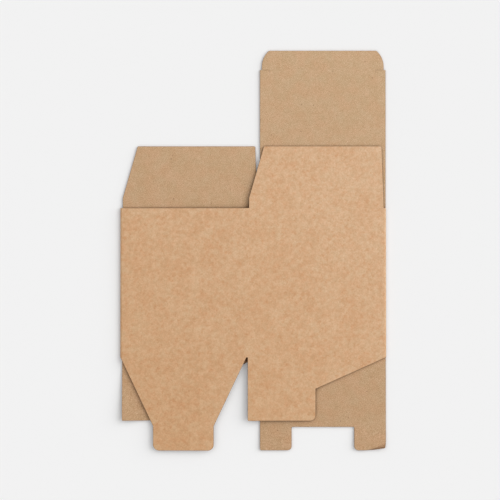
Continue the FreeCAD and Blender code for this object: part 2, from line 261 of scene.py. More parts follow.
def rim_rings():
    """Pairs of a step in and a height, from the bottom face round to the top face."""
    quarter = [math.pi / 2 * step / RIM_STEPS for step in range(RIM_STEPS + 1)]
    lower = [(RIM * (1 - math.sin(a)), RIM * (1 - math.cos(a))) for a in quarter]
    return lower + [(step_in, BOARD - height) for step_in, height in reversed(lower)]


print("rim rings, step in and height:", [(round(a, 2), round(b, 2)) for a, b in rim_rings()])

# %% Build a board into a mesh
SAME_POINT = 1e-5


def add_board(mesh, runs, rule, top_kind, bottom_kind, lines=(), spots=()):
    """Adds one board to a bmesh: two faces of triangles, and a wall wherever the outline isn't a fold."""
    points, kinds = outline_points(runs)
    count = len(points)
    ways = inset_directions(points, kinds)
    rings = []
    for step_in, height in rim_rings():
        places = [p + way * step_in for p, way in zip(points, ways)]
        rings.append([mesh.verts.new(rule(p.x, p.y, height)) for p in places])
    inner_ring = [p + way * RIM for p, way in zip(points, ways)]
    flat = inner_ring + inside_points(inner_ring, lines, spots)
    edges = [(i, (i + 1) % count) for i in range(count)]
    places, _, faces, _, _, _ = delaunay_2d_cdt(flat, edges, [], 1, SAME_POINT)
    tops = rings[-1] + [mesh.verts.new(rule(p.x, p.y, BOARD)) for p in places[count:]]
    bottoms = rings[0] + [mesh.verts.new(rule(p.x, p.y, 0.0)) for p in places[count:]]
    for face in faces:
        mesh.faces.new([tops[i] for i in face]).material_index = top_kind
        mesh.faces.new([bottoms[i] for i in reversed(face)]).material_index = bottom_kind
    for (i, j), kind in zip(edges, kinds):
        if kind != "fold":
            for lower, higher in zip(rings, rings[1:]):
                wall = mesh.faces.new((lower[i], lower[j], higher[j], higher[i]))
                wall.material_index = EDGE
    stray = max((a - b).length for a, b in zip(places, flat))
    print("board of", len(faces), "triangles a side, points moved by", round(stray, 6))

# %% [markdown]
# ## How the board lies
#
# The lower layer is flat on the table. The glue lap comes from the back panel and lies on the left side
# panel, so the back panel steps up to it beside the seam. The upper layer rests on that lap. It climbs
# from the left fold to a low ridge and falls to the right fold, which is why the front panel and the side
# panel catch the light a little differently.
#
# Every crease is a shallow press in the liners. It fades over about a millimetre.

# %% Rules for the two layers
PRESS = 0.045
PRESS_WIDTH = 0.8
PRESS_FADE = 5.0


def smooth(value):
    """A soft step from 0 to 1."""
    value = min(1.0, max(0.0, value))
    return value * value * (3 - 2 * value)


def pressed(distance):
    """How deep a crease is at a distance from its line."""
    return PRESS * math.exp(-((distance / PRESS_WIDTH) ** 2))


def off_folds(x):
    """Fades a crease out where it runs into a fold, so that the boards meet the rolls exactly."""
    return smooth(min(abs(x - LEFT_EDGE), abs(x - RIGHT_EDGE)) / PRESS_FADE)


def seated(z, height, dip):
    """Presses a crease into both liners: the top goes down and the bottom up."""
    return z + height + dip * (1 - 2 * height / BOARD)


def beyond_panel(y):
    """How far a place lies past the tube's ends."""
    return max(0.0, y - TOP, BOTTOM - y)


crease_reach = [round(pressed(step), 3) for step in (0.0, 0.5, 1.0, 1.5)]
print("a crease's depth every half millimetre from its line:", crease_reach)

# %% [markdown]
# ## Flaps that don't lie quite flat
#
# Kraft board remembers how it was stored, so a free corner lifts a little. The left lock flap rises only
# where the front flap doesn't hold it down, so its curl is measured from the front flap's sloped edge. We
# could pose it by hand, but the rule keeps the covered part flat whatever the sizes are.

# %% Rule for the left side panel and its flaps
CURL_REACH = 20.0
LEFT_CURL = 2.6
cover_start = Vector((FOLD_LEFT, BOTTOM))
cover_along = Vector((LOCK_SLOPE_RUN, TAB_DEPTH - LOCK_DEPTH)).normalized()


def left_curl(x, y):
    """How far the left lock flap's free corner rises, outside the edge of the front flap that covers it."""
    past = cover_along.cross(Vector((x, y)) - cover_start)
    return LEFT_CURL * smooth(-past / CURL_REACH) if y < BOTTOM else 0.0


def lower_left(x, y, height):
    """The left side panel with its two flaps."""
    dip = (pressed(y - TOP) + pressed(y - BOTTOM)) * off_folds(x)
    return Vector((x, y, seated(left_curl(x, y), height, dip))) * MM


left_corner = left_curl(FOLD_LEFT, BOTTOM - SIDE_LOCK_DEPTH)
print("the left lock flap's corner rises by", round(left_corner, 2))

# %% [markdown]
# ## The glue lap
#
# A carton maker glues a narrow lap of the back panel on to the left side panel. The lap lies one board
# higher than the panel that it belongs to, so the board steps up to it beside the seam, and the step dies out
# beyond the tube's ends, where there is no lap. The film of glue between them also keeps the two faces
# apart, because faces that share one plane would flicker.

# %% The step up to the glue lap
LAP_STEP = 4.0
LAP_FADE = 9.0
GLUE_FILM = 0.02


def lap_lift(x, y):
    """The step of the back panel up to its glue lap."""
    rise = smooth((SEAM + LAP_STEP - x) / LAP_STEP)
    return (BOARD + GLUE_FILM) * rise * (1 - smooth(beyond_panel(y) / LAP_FADE))


print("the lap lies", lap_lift(SEAM, 0.0), "above the table")

# %% [markdown]
# ## The turned-up corner
#
# The outer corner of the back flap's right leg has been caught and bent up. Paper board doesn't fold
# there, it curls, so the rule rolls it about a line across the corner: the further out a point lies, the
# more it has turned, up to a fixed angle. From there on it stands straight. A sharp crease would be a simpler
# way, but seen from above it would show one hard line instead of a soft dark one.

# %% Rule for the back panel and its flaps
EAR_WIDTH = 14.5
EAR_DEPTH = 5.5
EAR_ROLL = 2.2
EAR_TURN = math.radians(62)
LEG_CURL_START = BOTTOM - SIDE_LOCK_DEPTH
LEG_CURL = 0.35
RIGHT_LEG_CURL = 0.7
ear_corner = Vector((FOLD_RIGHT - INSET_FOLD, BOTTOM - LOCK_DEPTH))
ear_start = ear_corner - Vector((EAR_WIDTH, 0))
ear_along = Vector((EAR_WIDTH, EAR_DEPTH)).normalized()
ear_out = Vector((ear_along.y, -ear_along.x))


def leg_curl(x, y):
    """How far the legs of the back lock flap rise past the side flap that holds them down."""
    along = smooth((LEG_CURL_START - y) / (LOCK_DEPTH - SIDE_LOCK_DEPTH))
    across = smooth((x - SEAM) / (FOLD_RIGHT - SEAM))
    return along * (LEG_CURL + (RIGHT_LEG_CURL - LEG_CURL) * across)


def lower_right(x, y, height):
    """The back panel with its lap, lid and lock flap, and the curled corner."""
    dip = (pressed(y - TOP) + pressed(y - BOTTOM) + pressed(y - TUCK_CREASE)) * off_folds(x)
    flat = Vector((x, y))
    past = (flat - ear_start).dot(ear_out)
    if past > 0 and y < BOTTOM - LOCK_DEPTH / 2:
        turn = min(past / EAR_ROLL, EAR_TURN)
        straight = past - turn * EAR_ROLL
        out = EAR_ROLL * math.sin(turn) + straight * math.cos(turn) - height * math.sin(turn)
        up = EAR_ROLL * (1 - math.cos(turn)) + straight * math.sin(turn) + height * math.cos(turn)
        flat = flat - ear_out * (past - out)
        return Vector((flat.x, flat.y, up + leg_curl(x, y))) * MM
    return Vector((x, y, seated(lap_lift(x, y) + leg_curl(x, y), height, dip))) * MM


ear_tip = lower_right(ear_corner.x, ear_corner.y, BOARD)
print("the turned-up corner stands", round(ear_tip.z / MM, 1), "high")

# %% [markdown]
# ## The upper layer
#
# The front and side panels are two flat boards that lean against each other at the ridge, so one rule on the
# distance from the ridge gives both. The right dust flap is long and soft enough to sink until its free end
# rests on the lid. We could hinge it down by an angle, but then its root would open, so it sinks smoothly
# from its crease on.

# %% Rule for the upper layer
FRONT_RUN = RIDGE - LEFT_EDGE
SIDE_RUN = RIGHT_EDGE - RIDGE
DUST_REST = 1.85


def droop(x, y, floor):
    """How far the right dust flap sinks below its panel's plane, until its free end rests on the lid."""
    if x < RIDGE or y < TOP:
        return 0.0
    return max(floor - DUST_REST, 0.0) * smooth((y - TOP) / DUST_DEPTH)


def upper(x, y, height):
    """The front and right side panels, and the flaps in their planes."""
    run = FRONT_RUN if x < RIDGE else SIDE_RUN
    floor = FOLD_TOP - BOARD * abs(x - RIDGE) / run
    floor -= droop(x, y, floor)
    dip = pressed(y - BOTTOM) + (pressed(y - TOP) if x > RIDGE else 0.0)
    return Vector((x, y, seated(floor, height, dip * off_folds(x)))) * MM


ridge_high = upper(RIDGE, 0.0, BOARD).z / MM
print("top of the ridge", round(ridge_high, 2), "and of the dust flap's end", DUST_REST + BOARD)

# %% [markdown]
# ## What kraft paper looks like
#
# Kraft paper isn't one colour. The outside has soft patches, some more yellow and some more red, with short
# curled fibres in them. The inside is duller, with a dense grain and a few dark flecks. On top of that, the
# whole sheet is painted a little paler towards the lid, as painted light that falls off from the upper right.
#
# Several materials need these, so each is a shader node group that is built once and puts out masks or a
# height. The shader itself stays in each material.

# %% Helpers for node trees
def link_value(tree, socket, value):
    """Connects a socket to another socket, or sets it to a plain value."""
    if isinstance(value, bpy.types.NodeSocket):
        tree.links.new(value, socket)
    elif value is not None:
        socket.default_value = value


def new_group(name, inputs, outputs):
    """An empty shader group with its named inputs and outputs."""
    tree = bpy.data.node_groups.new(name, "ShaderNodeTree")
    for label, value in inputs:
        socket = tree.interface.new_socket(label, in_out="INPUT", socket_type="NodeSocketFloat")
        socket.default_value = value
    for label in outputs:
        tree.interface.new_socket(label, in_out="OUTPUT", socket_type="NodeSocketFloat")
    given = tree.nodes.new("NodeGroupInput")
    result = tree.nodes.new("NodeGroupOutput")
    return tree, given, result


def object_place(tree, stretch=(1.0, 1.0, 1.0), turn=0.0):
    """Object coordinates, stretched and turned."""
    place = tree.nodes.new("ShaderNodeTexCoord")
    mapping = tree.nodes.new("ShaderNodeMapping")
    mapping.inputs["Scale"].default_value = stretch
    mapping.inputs["Rotation"].default_value = (0, 0, turn)
    tree.links.new(place.outputs["Object"], mapping.inputs["Vector"])
    return mapping.outputs["Vector"]


def noise(tree, vector, scale, detail=2.0, rough=0.5):
    """A noise texture's grey value."""
    node = tree.nodes.new("ShaderNodeTexNoise")
    tree.links.new(vector, node.inputs["Vector"])
    link_value(tree, node.inputs["Scale"], scale)
    node.inputs["Detail"].default_value = detail
    node.inputs["Roughness"].default_value = rough
    return node.outputs["Fac"]


def spread(tree, value, low, high, out_low=0.0, out_high=1.0, soft=True):
    """Maps one range of a value on to another, and stops at its ends."""
    node = tree.nodes.new("ShaderNodeMapRange")
    node.interpolation_type = "SMOOTHSTEP" if soft else "LINEAR"
    for name, setting in (("From Min", low), ("From Max", high), ("To Min", out_low), ("To Max", out_high)):
        link_value(tree, node.inputs[name], setting)
    tree.links.new(value, node.inputs["Value"])
    return node.outputs["Result"]


def maths(tree, operation, first, second=None):
    """One arithmetic step."""
    node = tree.nodes.new("ShaderNodeMath")
    node.operation = operation
    link_value(tree, node.inputs[0], first)
    link_value(tree, node.inputs[1], second)
    return node.outputs[0]

# %% [markdown]
# ### Patches and clouds
#
# Pulp settles unevenly on the paper machine, so kraft has wide pale and dark patches with smaller clouds in
# them. Two noises of different size do this. A painted picture would show the same, but a noise has no edge
# and no repeat, and it stays sharp at any size.

# %% Group: patches and clouds
PATCH_SCALE = 75.0
CLOUD_SCALE = 300.0


def build_clouds():
    """Wide patches and smaller clouds in the liner, each about 0.5 on average."""
    tree, given, result = new_group("kraft_clouds", [("Scale", 1.0)], ["Patches", "Clouds"])
    vector = object_place(tree)
    wide = noise(tree, vector, maths(tree, "MULTIPLY", given.outputs["Scale"], PATCH_SCALE), 3.0, 0.55)
    small = noise(tree, vector, maths(tree, "MULTIPLY", given.outputs["Scale"], CLOUD_SCALE), 4.0, 0.75)
    tree.links.new(spread(tree, wide, 0.30, 0.70), result.inputs["Patches"])
    tree.links.new(spread(tree, small, 0.36, 0.64), result.inputs["Clouds"])
    return tree


clouds_group = build_clouds()
print("patches of about", round(1 / PATCH_SCALE / MM), "mm")
print("clouds of about", round(1 / CLOUD_SCALE / MM), "mm")

# %% [markdown]
# ### Curled fibres
#
# Single long fibres lie on the surface as short curled lines. Drawing thousands of curves would be slow. A
# noise gives them for nothing: the line along which it crosses its middle value winds about just so, and a
# second noise breaks it into short pieces.

# %% Group: curled fibres
FIBRE_SCALE = 240.0
BREAK_SCALE = 1.6
BREAK_SOFTNESS = 0.1


def build_fibres():
    """Short curled lines: where a noise crosses its middle value, and a second noise lets them show."""
    inputs = [("Scale", 1.0), ("Width", 0.03), ("Share", 0.5)]
    tree, given, result = new_group("curled_fibres", inputs, ["Fibres"])
    vector = object_place(tree, (1.0, 0.8, 1.0), 0.5)
    scale = maths(tree, "MULTIPLY", given.outputs["Scale"], FIBRE_SCALE)
    bends = noise(tree, vector, scale, 2.0, 0.6)
    middle = maths(tree, "ABSOLUTE", maths(tree, "SUBTRACT", bends, 0.5))
    line = spread(tree, middle, given.outputs["Width"], 0.0)
    turned = object_place(tree, (1.0, 1.0, 1.0), 1.1)
    breaks = noise(tree, turned, maths(tree, "MULTIPLY", scale, BREAK_SCALE), 1.0, 0.5)
    share = given.outputs["Share"]
    shown = spread(tree, breaks, share, maths(tree, "ADD", share, BREAK_SOFTNESS))
    tree.links.new(maths(tree, "MULTIPLY", line, shown), result.inputs["Fibres"])
    return tree


fibres_group = build_fibres()
print("fibres wind about every", round(1 / FIBRE_SCALE / MM, 1), "mm")

# %% [markdown]
# ### Grain
#
# Felted fibres make a grain of about a millimetre that runs in no single direction. One stretched noise
# would look brushed, so two of them are turned against each other and averaged. The same value is used as a
# mask for the colour and as a height for the bump.

# %% Group: grain
GRAIN_SCALE = 1100.0


def build_grain():
    """Felted grain of about a millimetre, as a mask and as a height."""
    tree, given, result = new_group("paper_grain", [("Scale", 1.0)], ["Grain", "Height"])
    scale = maths(tree, "MULTIPLY", given.outputs["Scale"], GRAIN_SCALE)
    along = noise(tree, object_place(tree, (1.0, 0.7, 1.0), 0.35), scale, 2.0, 0.7)
    across = noise(tree, object_place(tree, (0.7, 1.0, 1.0), -0.2), scale, 2.0, 0.7)
    both = maths(tree, "MULTIPLY", maths(tree, "ADD", along, across), 0.5)
    tree.links.new(spread(tree, both, 0.40, 0.60, soft=False), result.inputs["Grain"])
    tree.links.new(both, result.inputs["Height"])
    return tree


grain_group = build_grain()
print("grain of about", round(1 / GRAIN_SCALE / MM, 1), "mm")

# %% [markdown]
# ### Flecks
#
# Recycled paper holds specks of bark and old ink. A cell texture gives each cell a centre and a random
# colour: the distance to the centre makes the speck, and the colour picks which few cells have one.

# %% Group: flecks
FLECK_SCALE = 700.0
FLECK_CORE = 0.4


def build_flecks():
    """Small flecks, at the centres of a few of the cells that a cell texture makes."""
    inputs = [("Scale", 1.0), ("Size", 0.3), ("Share", 0.5)]
    tree, given, result = new_group("fibre_flecks", inputs, ["Flecks"])
    vector = object_place(tree, (1.0, 0.7, 1.0), 0.6)
    cells = tree.nodes.new("ShaderNodeTexVoronoi")
    tree.links.new(vector, cells.inputs["Vector"])
    link_value(tree, cells.inputs["Scale"], maths(tree, "MULTIPLY", given.outputs["Scale"], FLECK_SCALE))
    size = given.outputs["Size"]
    near = spread(tree, cells.outputs["Distance"], size, maths(tree, "MULTIPLY", size, FLECK_CORE))
    pick = tree.nodes.new("ShaderNodeSeparateColor")
    tree.links.new(cells.outputs["Color"], pick.inputs["Color"])
    shown = maths(tree, "LESS_THAN", pick.outputs["Red"], given.outputs["Share"])
    tree.links.new(maths(tree, "MULTIPLY", near, shown), result.inputs["Flecks"])
    return tree


flecks_group = build_flecks()
print("room for one fleck every", round(1 / FLECK_SCALE / MM, 1), "mm")

# %% [markdown]
# ### Painted shade in crevices
#
# Where two layers of board meet, hardly any light gets in. The lamps alone leave such a thin gap too bright,
# because the boards are pale and pass light between them. So a mask of how much sky each point sees darkens
# the paper itself as painted shade, and only within a few millimetres of the gap.

# %% Group: painted shade in crevices
CREVICE_REACH = 0.008
OPEN_SKY = 0.72
SHUT_SKY = 0.27


def build_crevice_shade():
    """Painted shade mask: 1 deep in a crevice between two layers and 0 in the open, from how much of the sky
    a point sees.
    """
    tree, given, result = new_group("crevice", [("Reach", CREVICE_REACH)], ["Crevice"])
    sky = tree.nodes.new("ShaderNodeAmbientOcclusion")
    sky.samples = 8
    tree.links.new(given.outputs["Reach"], sky.inputs["Distance"])
    tree.links.new(spread(tree, sky.outputs["AO"], OPEN_SKY, SHUT_SKY, soft=False), result.inputs["Crevice"])
    return tree


crevice_shade_group = build_crevice_shade()
print("crevices darken within", CREVICE_REACH / MM, "mm, where less than", OPEN_SKY, "of the sky is seen")

# %% [markdown]
# ### A painted fall-off of light
#
# The colour is painted paler from the sheet's lower left corner to the lid, as painted light that falls off
# across the sheet. A ramp along one direction is enough, and it runs through all pieces alike, because they
# all read the same Object coordinates.

# %% Group: painted fall-off of light
FALLOFF_REACH = 0.32
FALLOFF_SIDE = math.radians(53)


def build_painted_falloff():
    """A slow ramp of painted light across the sheet, 0 at the lower left and 1 at the lid's right corner."""
    tree, given, result = new_group("painted_falloff", [("Reach", FALLOFF_REACH)], ["Paling"])
    turned = object_place(tree, (1.0, 1.0, 1.0), -FALLOFF_SIDE)
    split = tree.nodes.new("ShaderNodeSeparateXYZ")
    tree.links.new(turned, split.inputs["Vector"])
    half = maths(tree, "MULTIPLY", given.outputs["Reach"], 0.5)
    start = maths(tree, "MULTIPLY", half, -1.0)
    tree.links.new(spread(tree, split.outputs["X"], start, half, soft=False), result.inputs["Paling"])
    return tree


painted_falloff_group = build_painted_falloff()
print("shader groups:", [group.name for group in bpy.data.node_groups])

# %% [markdown]
# ## The three finishes
#
# Each finish starts from the paper's own colour, painted darker at the sheet's lower left and paler at the
# lid as painted light. The patches, clouds, fibres, grain and flecks then darken or warm it by a few parts in
# a hundred, by multiplying, so that they look the same on the pale and on the dark part, and the crevice mask
# then paints shade into it. Colours are written as they look on screen and turned into Blender's linear
# values. Paper is rough, so the shader has hardly any gloss, and a fine bump.

# %% Helpers for materials
def screen(red, green, blue):
    """A colour given as 0 to 255 on screen, as a linear colour."""
    channels = [c / 255 for c in (red, green, blue)]
    return [c / 12.92 if c <= 0.04045 else ((c + 0.055) / 1.055) ** 2.4 for c in channels] + [1.0]


def place_group(tree, group, **values):
    """Puts a shader group in a material, with its own values."""
    node = tree.nodes.new("ShaderNodeGroup")
    node.node_tree = group
    for name, value in values.items():
        node.inputs[name.capitalize()].default_value = value
    return node


def mixed(tree, mask, first, second, blend="MIX"):
    """Mixes two colours by a mask."""
    node = tree.nodes.new("ShaderNodeMix")
    node.data_type = "RGBA"
    node.blend_type = blend
    link_value(tree, node.inputs["Factor"], mask)
    link_value(tree, node.inputs["A"], first)
    link_value(tree, node.inputs["B"], second)
    return node.outputs["Result"]


def tone(tree, colour, mask, factors):
    """Multiplies a colour by three factors where a mask says so."""
    return mixed(tree, mask, colour, [*factors, 1.0], "MULTIPLY")


def new_finish(name, roughness, specular):
    """A material with its shader ready."""
    material = bpy.data.materials.new(name)
    material.use_nodes = True
    tree = material.node_tree
    shader = tree.nodes["Principled BSDF"]
    shader.inputs["Roughness"].default_value = roughness
    shader.inputs["Specular IOR Level"].default_value = specular
    return material, tree, shader


# The colour factor of the painted shade in crevices.
CREVICE_SHADE_TONE = (0.24, 0.12, 0.06)


def add_bump(tree, shader, height, strength, distance):
    """A bump of a real height, in metres."""
    bump = tree.nodes.new("ShaderNodeBump")
    bump.inputs["Strength"].default_value = strength
    bump.inputs["Distance"].default_value = distance
    tree.links.new(height, bump.inputs["Height"])
    tree.links.new(bump.outputs["Normal"], shader.inputs["Normal"])

# %% [markdown]
# ### The outer liner
#
# The outside is made from long fresh fibres. It is warm and smooth, with soft yellow and red patches. The
# second set of patches, called blush, takes out a little red where it lies, so that the hue changes from
# place to place and not only the brightness.

# %% The outer liner
def outer_finish():
    """Smooth, warm kraft with yellow and red patches and curled fibres."""
    material, tree, shader = new_finish("outer_kraft", 0.8, 0.2)
    painted_falloff = place_group(tree, painted_falloff_group).outputs["Paling"]
    crevice = place_group(tree, crevice_shade_group).outputs["Crevice"]
    clouds = place_group(tree, clouds_group, scale=1.0)
    grain = place_group(tree, grain_group, scale=1.0)
    blush = place_group(tree, clouds_group, scale=2.6)
    fibres = place_group(tree, fibres_group, scale=1.0, width=0.07, share=0.5)
    # Painted light: darker at the lower left and paler towards the lid, where the light falls off.
    colour = mixed(tree, painted_falloff, screen(212, 171, 132), screen(228, 192, 158))
    colour = tone(tree, colour, clouds.outputs["Patches"], (0.965, 0.91, 0.865))
    colour = tone(tree, colour, clouds.outputs["Clouds"], (0.925, 0.87, 0.815))
    colour = tone(tree, colour, blush.outputs["Patches"], (0.965, 1.01, 1.02))
    colour = tone(tree, colour, grain.outputs["Grain"], (0.885, 0.855, 0.815))
    colour = tone(tree, colour, fibres.outputs["Fibres"], (0.95, 0.87, 0.80))
    # Painted shade: darker in the crevices between layers.
    colour = tone(tree, colour, crevice, CREVICE_SHADE_TONE)
    tree.links.new(colour, shader.inputs["Base Color"])
    rough = spread(tree, grain.outputs["Grain"], 0.0, 1.0, 0.74, 0.88, soft=False)
    tree.links.new(rough, shader.inputs["Roughness"])
    add_bump(tree, shader, grain.outputs["Height"], 0.5, 0.00004)
    return material

# %% [markdown]
# ### The inner liner
#
# The inside is made from recycled fibres. It is duller and rougher, so its grain is finer and stronger, with
# pale flecks and a few dark ones, and there are no long fibres.

# %% The inner liner
def inner_finish():
    """Dull recycled liner with a dense grain and a few dark flecks."""
    material, tree, shader = new_finish("inner_kraft", 0.9, 0.15)
    painted_falloff = place_group(tree, painted_falloff_group).outputs["Paling"]
    crevice = place_group(tree, crevice_shade_group).outputs["Crevice"]
    clouds = place_group(tree, clouds_group, scale=1.4)
    grain = place_group(tree, grain_group, scale=1.8)
    dark = place_group(tree, flecks_group, scale=0.75, size=0.3, share=0.02)
    pale = place_group(tree, flecks_group, scale=0.83, size=0.36, share=0.25)
    blush = place_group(tree, clouds_group, scale=1.3)
    # Painted light: darker at the lower left and paler towards the lid, where the light falls off.
    colour = mixed(tree, painted_falloff, screen(207, 170, 137), screen(222, 188, 155))
    colour = tone(tree, colour, clouds.outputs["Patches"], (0.97, 0.945, 0.91))
    colour = tone(tree, colour, clouds.outputs["Clouds"], (0.94, 0.92, 0.885))
    colour = tone(tree, colour, blush.outputs["Patches"], (0.955, 1.01, 1.01))
    colour = tone(tree, colour, grain.outputs["Grain"], (0.67, 0.60, 0.50))
    colour = tone(tree, colour, pale.outputs["Flecks"], (1.06, 1.07, 1.08))
    colour = tone(tree, colour, dark.outputs["Flecks"], (0.66, 0.60, 0.56))
    # Painted shade: darker in the crevices between layers.
    colour = tone(tree, colour, crevice, CREVICE_SHADE_TONE)
    tree.links.new(colour, shader.inputs["Base Color"])
    rough = spread(tree, grain.outputs["Grain"], 0.0, 1.0, 0.84, 0.96, soft=False)
    tree.links.new(rough, shader.inputs["Roughness"])
    add_bump(tree, shader, grain.outputs["Height"], 0.6, 0.00006)
    return material

# %% [markdown]
# ### The cut edge
#
# A cut shows the board's crushed middle, which is darker than its liners, and its colour is made darker still
# as painted shade, for the thin shadow lines along the edges. Streaks run from face to face where the steel
# rule dragged, and thin layers run along the edge. Both are one noise each, stretched along the board's
# height or flattened across it.

# %% The cut edge
STREAK_SCALE = 1500.0
LAYER_SCALE = 2600.0


def edge_finish():
    """The crushed section that the steel rule leaves, made darker as painted shade: streaked across the
    board, with its two liners.
    """
    material, tree, shader = new_finish("cut_edge", 0.92, 0.1)
    painted_falloff = place_group(tree, painted_falloff_group).outputs["Paling"]
    crevice = place_group(tree, crevice_shade_group).outputs["Crevice"]
    streaks = noise(tree, object_place(tree, (1.0, 1.0, 0.15)), STREAK_SCALE, 3.0, 0.6)
    layers = noise(tree, object_place(tree, (0.04, 0.04, 1.0)), LAYER_SCALE, 2.0, 0.6)
    # Painted light: darker at the lower left and paler towards the lid, where the light falls off.
    # Painted shade: both colours of the cut edge are darker than the crushed board alone, to paint the thin
    # shadow lines along the edges.
    colour = mixed(tree, painted_falloff, screen(158, 124, 94), screen(176, 142, 112))
    colour = tone(tree, colour, spread(tree, streaks, 0.35, 0.65), (0.80, 0.77, 0.74))
    colour = tone(tree, colour, spread(tree, layers, 0.4, 0.6), (0.88, 0.87, 0.86))
    # Painted shade: darker in the crevices between layers.
    colour = tone(tree, colour, crevice, CREVICE_SHADE_TONE)
    tree.links.new(colour, shader.inputs["Base Color"])
    add_bump(tree, shader, streaks, 0.7, 0.00008)
    return material


finishes = [outer_finish(), inner_finish(), edge_finish()]
print("finishes:", [finish.name for finish in finishes])

# %% [markdown]
# ## The rolled folds
#
# At each side the board turns over through half a circle. The roll follows the fold line, which is what
# Geometry Nodes are good at: an arc is swept along a line and gets its liner. One small tree makes all
# four skins, the outer and the inner liner at each side, because its sizes are named inputs.

# %% Build the node tree of a rolled liner
ROLL_STEPS = 16
WELD = 0.004


def build_roll_tree():
    """Sweeps half a circle along a line, and faces it outwards or inwards."""
    tree = bpy.data.node_groups.new("rolled_liner", "GeometryNodeTree")
    tree.is_modifier = True
    for label, kind in (
        ("Start", "NodeSocketVector"),
        ("End", "NodeSocketVector"),
        ("Radius", "NodeSocketFloat"),
        ("First Angle", "NodeSocketFloat"),
        ("Rows", "NodeSocketInt"),
        ("Inwards", "NodeSocketBool"),
        ("Liner", "NodeSocketMaterial"),
    ):
        tree.interface.new_socket(label, in_out="INPUT", socket_type=kind)
    tree.interface.new_socket("Geometry", in_out="OUTPUT", socket_type="NodeSocketGeometry")
    nodes, links = tree.nodes, tree.links
    given = nodes.new("NodeGroupInput").outputs
    line = nodes.new("GeometryNodeCurvePrimitiveLine")
    rows = nodes.new("GeometryNodeResampleCurve")
    arc = nodes.new("GeometryNodeCurveArc")
    arc.inputs["Resolution"].default_value = ROLL_STEPS + 1
    arc.inputs["Sweep Angle"].default_value = math.pi
    sweep = nodes.new("GeometryNodeCurveToMesh")
    flip = nodes.new("GeometryNodeFlipFaces")
    realize = nodes.new("GeometryNodeRealizeInstances")
    finish = nodes.new("GeometryNodeSetMaterial")
    result = nodes.new("NodeGroupOutput")
    for start, end in (
        (given["Start"], line.inputs["Start"]),
        (given["End"], line.inputs["End"]),
        (line.outputs["Curve"], rows.inputs["Curve"]),
        (given["Rows"], rows.inputs["Count"]),
        (given["Radius"], arc.inputs["Radius"]),
        (given["First Angle"], arc.inputs["Start Angle"]),
        (rows.outputs["Curve"], sweep.inputs["Curve"]),
        (arc.outputs["Curve"], sweep.inputs["Profile Curve"]),
        (sweep.outputs["Mesh"], flip.inputs["Mesh"]),
        (given["Inwards"], flip.inputs["Selection"]),
        (flip.outputs["Mesh"], realize.inputs["Geometry"]),
        (realize.outputs["Geometry"], finish.inputs["Geometry"]),
        (given["Liner"], finish.inputs["Material"]),
        (finish.outputs["Geometry"], result.inputs["Geometry"]),
    ):
        links.new(start, end)
    return tree


roll_tree = build_roll_tree()
print("node tree", roll_tree.name, "has", len(roll_tree.nodes), "nodes")

# %% Add a roll to the sheet
def add_roll(mesh, x, first_angle, radius, kind):
    """Evaluates the tree once and adds its faces to a bmesh, with the material's number."""
    carrier = bpy.data.objects.new("roll", bpy.data.meshes.new("roll"))
    bpy.context.scene.collection.objects.link(carrier)
    modifier = carrier.modifiers.new("roll", "NODES")
    modifier.node_group = roll_tree
    values = {
        "Start": Vector((x, BOTTOM, FOLD_ROUND)) * MM,
        "End": Vector((x, TOP, FOLD_ROUND)) * MM,
        "Radius": radius * MM,
        "First Angle": first_angle,
        "Rows": round((TOP - BOTTOM) / CELL) + 1,
        "Inwards": kind == INNER,
        "Liner": finishes[kind],
    }
    for item in roll_tree.interface.items_tree:
        if item.in_out == "INPUT":
            modifier[item.identifier] = values[item.name]
    evaluated = carrier.evaluated_get(bpy.context.evaluated_depsgraph_get())
    liner = bpy.data.meshes.new_from_object(evaluated)
    carrier.modifiers.clear()
    bpy.data.objects.remove(carrier)
    known = len(mesh.faces)
    mesh.from_mesh(liner)
    mesh.faces.ensure_lookup_table()
    for face in mesh.faces[known:]:
        face.material_index = kind
    bpy.data.meshes.remove(liner)
    print("rolled liner at", round(x, 2), "radius", radius, "faces", len(mesh.faces) - known)


def on_line(mesh, start, end):
    """The vertices between two others on a straight line, in order."""
    run = end.co - start.co
    found = []
    for vertex in mesh.verts:
        offset = vertex.co - start.co
        along = offset.dot(run) / run.length_squared
        if 0.001 < along < 0.999 and (offset - run * along).length < WELD * MM:
            found.append((along, vertex))
    return [vertex for _, vertex in sorted(found, key=lambda item: item[0])]


def close_roll(mesh, x, side, end):
    """Closes the end of a roll between its two liners, and takes in the rings of the walls beside it."""
    centre = Vector((x, end, FOLD_ROUND)) * MM
    outer, inner = [], []
    for ring, radius in ((outer, FOLD_ROUND), (inner, FOLD_GAP / 2)):
        for step in range(ROLL_STEPS + 1):
            angle = math.pi * step / ROLL_STEPS
            offset = Vector((side * math.sin(angle), 0, -math.cos(angle))) * radius * MM
            ring.append(min(mesh.verts, key=lambda v: (v.co - centre - offset).length))
    below = on_line(mesh, inner[0], outer[0])
    above = on_line(mesh, outer[-1], inner[-1])
    for step in range(ROLL_STEPS):
        last = above if step == ROLL_STEPS - 1 else []
        first = below if step == 0 else []
        corners = [outer[step], outer[step + 1], *last, inner[step + 1], inner[step], *first]
        mesh.faces.new(corners).material_index = EDGE

# %% [markdown]
# ## The sheet: tube, lap and lower flaps
#
# The two boards of the lower layer, the board of the upper layer and the rolls are one piece of board, so
# they are welded into one closed mesh. The lower flaps belong to it, because nothing can lift them while
# the upper ones lie on top. The first outline is the left side panel's, with its dust flap and lock flap.

